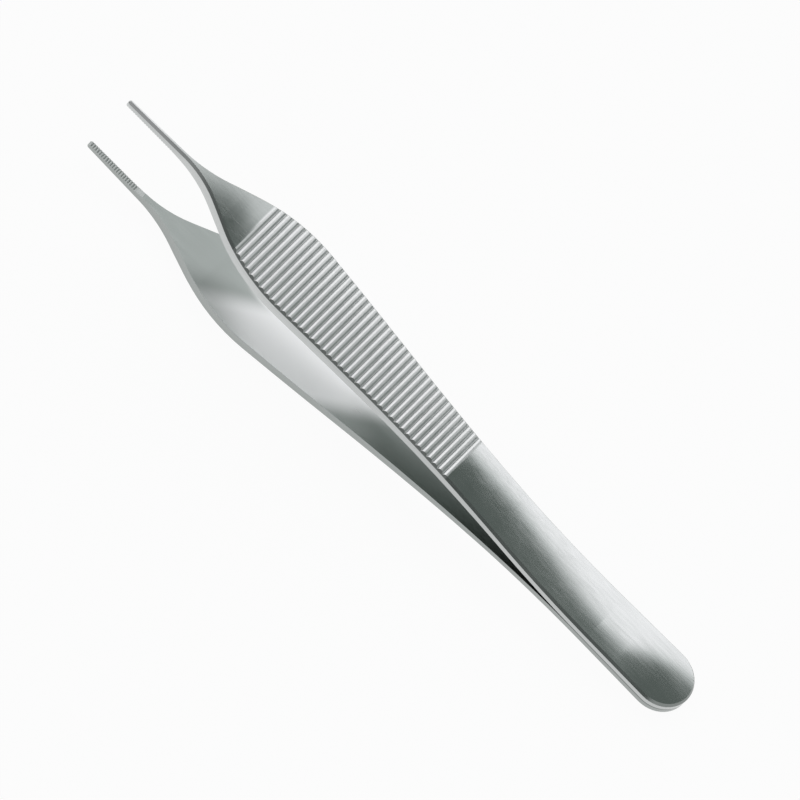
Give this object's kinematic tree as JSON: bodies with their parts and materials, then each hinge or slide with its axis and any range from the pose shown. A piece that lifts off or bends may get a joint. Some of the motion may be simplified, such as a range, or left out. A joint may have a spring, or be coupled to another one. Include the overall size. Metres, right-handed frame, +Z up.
{
  "type": "thumb forceps",
  "caption": "Spring thumb forceps: two welded steel arms with broad ridged thumb plates, narrowing to fine serrated tips that stand open and close when squeezed.",
  "frame": {"origin": "middle of the footprint, on the table that the lower arm rests on", "axes": "+X from the heel to the tips, level with the table; +Y across the arms; +Z up, the way the arms are squeezed"},
  "size_m": [0.1204, 0.0134, 0.0192],
  "materials": {
    "satin_steel": "satin"
  },
  "bodies": {
    "root": {"upper_arm": "satin_steel", "lower_arm": "satin_steel"}
  },
  "joints": []
}
